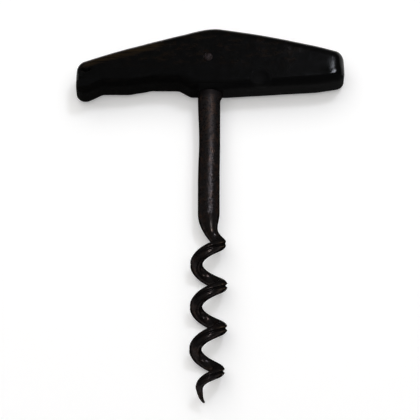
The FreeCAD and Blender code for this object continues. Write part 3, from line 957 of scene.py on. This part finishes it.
@dataclass
class ShankAndWorm:
    """One piece of iron: tang, shank, bend and grooved worm, swept along its own line by Geometry Nodes."""

    shank_top_radius: Number = 3.39
    shank_waist_radius: Number = 3.19
    shank_low_radius: Number = 3.27
    shank_length: Number = 39.75
    waist_drop: Number = 15.85
    waist_reach: Number = 13.0
    waist_shift: Number = 0.2
    tang_step: Number = 0.2
    tang_length: Number = Datum.tang_length
    tang_lead: Number = 0.6
    bend_turn: Number = 0.258
    bend_drop: Number = 9.95
    bend_lead: Number = 61.2
    bend_thinning: Number = 0.15
    wire_radius: Number = 1.84
    worm_radius: Number = 3.58
    worm_swell: Number = 0.27
    worm_sway: Number = 0.35
    worm_lean: Number = 0.0074
    worm_pitch: Number = 13.54
    worm_turns: Number = 3.7
    point_turns: Number = 0.46
    point_closing: Number = 0.3
    point_offset: Number = 1.89
    point_radius: Number = 0.26
    taper_turns: Number = 2.18
    groove_width: Number = 1.15
    groove_depth: Number = 0.6
    groove_run_in: Number = 0.35
    lip_rise: Number = 0.04
    lip_place: Number = 1.15
    forge_wave: Number = 0.035
    pit_depth: Number = 0.05
    growth: Number = 0.06
    burr: Number = 0.9

    waves: Pattern = Pattern(0.28, 2.0, 0.5, 5.0)
    rusting: Pattern = Pattern(1.3, 3.0, 0.6, 6.0)
    rust_share: Ramp = Ramp(0.56, 0.72)
    into_tang: Ramp = Ramp(0.0, 0.3)
    lip_width: Ramp = Ramp(0.0, 0.55, 1.0, 0.0)
    burr_start: Ramp = Ramp(-3.0, -0.5)
    burr_end: Ramp = Ramp(0.0, 0.2, 1.0, 0.0)

    TAPER_POWER = 5.2
    STRAIGHT_SHARE = 0.24
    ROWS = 760
    COLUMNS = 96
    CROWDING = 0.5
    STEP_TURNS = 0.0005
    CAP_TURNS = 0.016

    def _height(self, turn: Scalar) -> Scalar:
        """Finds the height of the wire's middle: a smooth bend of the third degree, and then an even pitch.

        Args:
            turn: turns counted from the first right tip.

        Returns:
            The height above the seat, a negative number.
        """
        part = (turn / self.bend_turn + 1.0).at_least(0.0).at_most(1.0)
        square, cube = part * part, part * part * part
        start = self.shank_length * -1.0
        first_tip = start - self.bend_drop
        bend = (cube * 2.0 - square * 3.0 + 1.0) * start
        bend = bend + (cube - square * 2.0 + part) * self.bend_lead * self.bend_turn * -1.0
        bend = bend + (square * 3.0 - cube * 2.0) * first_tip
        bend = bend + (cube - square) * self.worm_pitch * self.bend_turn * -1.0
        return bend - turn.at_least(0.0) * self.worm_pitch

    def _middle(self, turn: Scalar) -> Triple:
        """Finds the wire's middle.

        Args:
            turn: turns counted from the first right tip.

        Returns:
            The place from the seat.
        """
        full_turns = self.worm_turns - self.point_turns
        belly = ((turn / full_turns).at_least(0.0).at_most(1.0) * math.pi).sine()
        opening = RISE.of(turn / self.bend_turn + 1.0)
        closing = RISE.of((turn - full_turns) / self.point_closing)
        offset = (self.worm_radius + self.worm_swell * belly) * opening * (1.0 - closing)
        offset = offset + self.point_offset * closing
        height = self._height(turn)
        aside = self.worm_sway * belly + self.worm_lean * (height + self.shank_length)
        angle = turn * math.tau
        return Triple.of(turn.tree, offset * angle.cosine() + aside, height, offset * angle.sine())

    def _station(self, flat: Triple) -> Station:
        """Reads a point's place on the flat grid, whose columns crowd together at the groove.

        Args:
            flat: the point on the grid of 1 by 1.

        Returns:
            Where the point comes to lie.
        """
        along, around, _ = flat.parts()
        along, around = along + 0.5, around * 2.0
        crowded = around * self.CROWDING + around * around * around * (1.0 - self.CROWDING)
        share = (along / self.STRAIGHT_SHARE).at_most(1.0)
        height = self.tang_length - (self.tang_length + self.shank_length) * share
        beside = RISE.of((height * -1.0 - self.waist_drop).size() / self.waist_reach)
        coil = (along - self.STRAIGHT_SHARE).at_least(0.0) / (1.0 - self.STRAIGHT_SHARE)
        turn = coil * (self.bend_turn + self.worm_turns) - self.bend_turn
        return Station(along, crowded * math.pi, height, beside, turn, along.over(self.STRAIGHT_SHARE))

    def _shank_radius(self, at: Station) -> Scalar:
        """Finds the radius of the shank and of the bevelled tang above it.

        Args:
            at: the point.

        Returns:
            The radius.
        """
        below_waist = (at.height * -1.0).over(self.waist_drop)
        far = below_waist.between(self.shank_top_radius, self.shank_low_radius)
        shank = self.shank_waist_radius + (far - self.shank_waist_radius) * at.beside_waist
        tang = self.shank_top_radius - self.tang_step
        bevel = tang - self.tang_lead + (self.tang_length - at.height)
        tang = bevel.at_most(tang) * at.along.over(0.5 / self.ROWS)
        return self.into_tang.of(at.height).between(shank, tang)

    def _wire_radius(self, turn: Scalar) -> Scalar:
        """Finds the radius of the wire, which thins from the shank and then to the point.

        Args:
            turn: turns counted from the first right tip.

        Returns:
            The radius.
        """
        thinning = RISE.of((turn + self.bend_turn) / self.bend_thinning)
        wire = thinning.between(self.shank_low_radius, self.wire_radius)
        taper = (turn - self.worm_turns + self.taper_turns) / self.taper_turns
        return taper.at_least(0.0).power(self.TAPER_POWER).between(wire, self.point_radius)

    def _groove(self, at: Station, wire: Scalar) -> tuple[Scalar, Scalar]:
        """Shapes the groove along the outside of the worm and the lips beside it.

        Args:
            at: the point.
            wire: the wire's radius.

        Returns:
            The groove's depth and the lips' height, both as shares.
        """
        fading_in = RISE.of(at.turn / self.groove_run_in + 0.5)
        fading_out = RISE.of((self.worm_turns - at.turn) / self.groove_run_in)
        cut = fading_in * fading_out * wire / self.wire_radius * at.in_coil
        across = at.angle / (self.groove_width / 2.0 / self.wire_radius)
        lip = self.lip_width.of((across.size() - self.lip_place).size())
        return (1.0 - across * across).at_least(0.0) * cut, lip * cut

    def _relief(self, at: Station, skin: Triple, spoke: Triple, radius: Scalar) -> Scalar:
        """Works out the forging waves, the rust pits and the swelling on the right under the handle.

        Args:
            at: the point.
            skin: its place on the even skin.
            spoke: direction from the piece's middle to the point.
            radius: the piece's radius there.

        Returns:
            How far the surface stands out of the even skin.
        """
        waves = self.waves.swing(skin) * self.forge_wave
        pits = self.rust_share.of(self.rusting.on(skin)) * self.pit_depth * -1.0
        relief = (waves + pits + self.growth) * (radius / self.wire_radius).at_most(1.0)
        rightward = spoke.parts()[0].at_least(0.0)
        under = self.burr_start.of(at.height) * self.burr_end.of(at.height) * (1.0 - at.in_coil)
        return relief + rightward * rightward * rightward * under * self.burr

    def _sweep(self) -> Shaping:
        """Makes the tree that bends a grid into the iron piece.

        Returns:
            The tree.
        """
        shaping = Shaping("iron_sweep", self)
        tree, swept = shaping.tree, shaping.given
        at = swept._station(shaping.point)
        wire = swept._wire_radius(at.turn)
        short = 1.0 - ((swept.worm_turns - at.turn) / self.CAP_TURNS).at_most(1.0)
        ball = (1.0 - short * short).at_least(0.0).root()
        radius = at.in_coil.between(swept._shank_radius(at), wire * ball)
        groove, lip = swept._groove(at, wire)

        shift = swept.waist_shift * (1.0 - at.beside_waist)
        middle = swept._middle(at.turn)
        ahead = swept._middle(at.turn + self.STEP_TURNS)
        centre = at.choose(Triple.of(tree, shift, at.height, 0.0), middle)
        run = at.choose(Triple.of(tree, 0.0, -1.0, 0.0), (ahead - middle).unit())
        facing = at.turn * math.tau
        facing = Triple.of(tree, facing.cosine(), 0.0, facing.sine())
        outwards = (facing - run.scaled(facing.dot(run))).unit()
        spoke = outwards.scaled(at.angle.cosine()) + run.cross(outwards).scaled(at.angle.sine())
        skin = centre + spoke.scaled(radius)
        relief = swept._relief(at, skin, spoke, radius)
        relief = relief - groove * swept.groove_depth + lip * swept.lip_rise
        surface = skin + spoke.scaled(relief) + Triple.of(tree, *SEAT)

        sides = {"Size X": 1.0, "Size Y": 1.0, "Vertices X": self.ROWS, "Vertices Y": self.COLUMNS}
        shaping.shape = add_node(tree, "GeometryNodeMeshGrid", sides).outputs["Mesh"]
        for name, value in (("groove", groove), ("lip", lip)):
            shaping.step("GeometryNodeStoreNamedAttribute", Name=name, Value=value)
        shaping.step("GeometryNodeSetPosition", Position=surface.scaled(MM))
        shaping.step("GeometryNodeMergeByDistance", Distance=WELD_METRES)
        return shaping

    def build(self, material: Material) -> Object:
        """Makes the shank and the worm.

        Args:
            material: the iron's finish.

        Returns:
            The finished piece.
        """
        piece = add_object("iron_shank_and_worm", bpy.data.meshes.new("iron_shank_and_worm"))
        settle(piece, self._sweep(), material)
        declare(piece, "shank_and_worm")
        return piece


@dataclass
class CrossPin:
    """The cross pin: its solid shape with a hammered, slightly uneven end."""

    hammering: Number = 0.05
    spread: Number = 0.10

    blows: Pattern = Pattern(0.9, 2.0, 0.5, 12.0)
    near_ends: Ramp = Ramp(4.6, 5.3)

    VOXEL = 0.09

    def build(self, material: Material) -> Object:
        """Makes the pin, hammers its skin and spreads its ends.

        Args:
            material: the pin's finish.

        Returns:
            The finished piece.
        """
        # The blows lie over the frame's own millimetres
        shaping = Shaping("pin_hammering", self)
        place, normal = shaping.point.scaled(1.0 / MM), shaping.outward
        x, y, _ = normal.parts()
        level = (place.parts()[2] - SEAT.z).size()
        flare = Triple.of(shaping.tree, x, y, 0.0).scaled(self.near_ends.of(level) * shaping.given.spread)
        offset = normal.scaled(self.blows.swing(place) * shaping.given.hammering) + flare
        shaping.step("GeometryNodeSetPosition", Offset=offset.scaled(MM))
        piece = remeshed_node("hammered_cross_pin", "cross_pin", self.VOXEL)
        settle(piece, shaping, material)
        declare(piece, "cross_pin")
        return piece


# Studio
@dataclass(frozen=True)
class Lamp:
    """A soft lamp that looks at the corkscrew, square unless it has a length of its own along the shank."""

    name: str
    towards: Place
    metres_away: float
    width_metres: float
    watts: float
    length_metres: float = 0.0
    mirrored: bool = True
    lighting: bool = True
    colour: Colour = (1.0, 1.0, 1.0)

    def place(self, target: Vector) -> None:
        """Puts the lamp up.

        Args:
            target: the point that it looks at, in metres.
        """
        data = bpy.data.lights.new(self.name, "AREA")
        data.shape = "RECTANGLE"
        data.size = self.width_metres
        data.size_y = self.length_metres or self.width_metres
        data.energy = self.watts
        data.color = self.colour
        lamp = add_object(self.name, data)
        direction = Vector(self.towards).normalized()
        lamp.location = target + direction * self.metres_away
        side = Vector((0.0, 1.0, 0.0)).cross(direction).normalized()
        lamp.rotation_euler = Matrix((side, direction.cross(side), direction)).transposed().to_euler()
        lamp.visible_glossy = self.mirrored
        lamp.visible_diffuse = self.lighting


DAYLIGHT: Colour = (0.86, 0.90, 1.0)
LAMPS = (
    Lamp("ceiling_softbox", (-0.04, 0.28, 0.96), 1.0, 1.6, 11.0, mirrored=False),
    Lamp("right_softbox", (0.27, 0.36, 0.88), 1.2, 0.17, 2.3, colour=DAYLIGHT),
    Lamp("right_strip", (0.27, 0.26, 0.91), 1.22, 0.15, 6.2, 0.36, lighting=False, colour=DAYLIGHT),
    Lamp("low_glint", (0.44, -0.56, 0.71), 1.2, 0.12, 3.2, lighting=False),
)


@dataclass
class Studio:
    """Camera, table, lamps and sky."""

    elevation_degrees: float = 68.89
    roll_degrees: float = -0.20
    camera_distance: float = 900.0
    field_width: float = 128.1
    aim_right: float = 0.392
    aim_up: float = -38.76
    sensor: float = 36.0
    near_metres: float = 0.01
    far_metres: float = 50.0
    table_half_metres: float = 2.0
    sky_strength: Ramp = Ramp(0.0, 1.0, 0.14, 0.22)

    def camera(self) -> None:
        """Sets the camera at the photograph's angle."""
        data = bpy.data.cameras.new("photo_camera")
        data.sensor_width = self.sensor
        data.lens = self.sensor * self.camera_distance / self.field_width
        data.clip_start, data.clip_end = self.near_metres, self.far_metres
        camera = add_object("photo_camera", data)
        tilt, roll = math.radians(90.0 - self.elevation_degrees), math.radians(self.roll_degrees)
        back = Vector((0.0, -math.sin(tilt), math.cos(tilt)))
        level_up = Vector((0.0, math.cos(tilt), math.sin(tilt)))
        across = Vector((1.0, 0.0, 0.0))
        right = across * math.cos(roll) - level_up * math.sin(roll)
        up = across * math.sin(roll) + level_up * math.cos(roll)
        aim = (SEAT + Vector((self.aim_right, self.aim_up, 0.0))) * MM
        turn = Matrix((right, up, back)).transposed().to_4x4()
        camera.matrix_world = Matrix.Translation(aim + back * self.camera_distance * MM) @ turn
        bpy.context.scene.camera = camera

    def table(self) -> None:
        """Lays the white table top."""
        half = self.table_half_metres
        corners = [(-half, -half, 0.0), (half, -half, 0.0), (half, half, 0.0), (-half, half, 0.0)]
        mesh = bpy.data.meshes.new("table_top")
        mesh.from_pydata(corners, [], [(0, 1, 2, 3)])
        mesh.materials.append(TableFinish().build())
        add_object("table_top", mesh)

    def sky(self) -> None:
        """Makes a soft grey sky, brighter overhead."""
        world = bpy.data.worlds.new("studio_sky")
        bpy.context.scene.world = world
        world.use_nodes = True
        tree = world.node_tree
        background = tree.nodes["Background"]
        place = tree.nodes.new("ShaderNodeTexCoord").outputs["Generated"]
        height = Triple(tree, place).parts()[2]
        feed(tree, background.inputs["Strength"], self.sky_strength.of(height))
        background.inputs["Color"].default_value = (1.0, 1.0, 1.0, 1.0)

    def build(self) -> None:
        """Sets up the whole studio."""
        self.camera()
        self.table()
        self.sky()
        for lamp in LAMPS:
            lamp.place(SEAT * MM)
        bpy.context.scene.view_settings.view_transform = "Standard"


def main() -> None:
    """Builds the studio and the three pieces."""
    logging.basicConfig(level=logging.INFO, format="%(name)s: %(message)s")
    Studio().build()
    HornHandle().build(HornFinish().build(), GnawedFinish().build())
    ShankAndWorm().build(IronFinish().build())
    CrossPin().build(PinFinish().build())


if __name__ == "__main__":
    main()
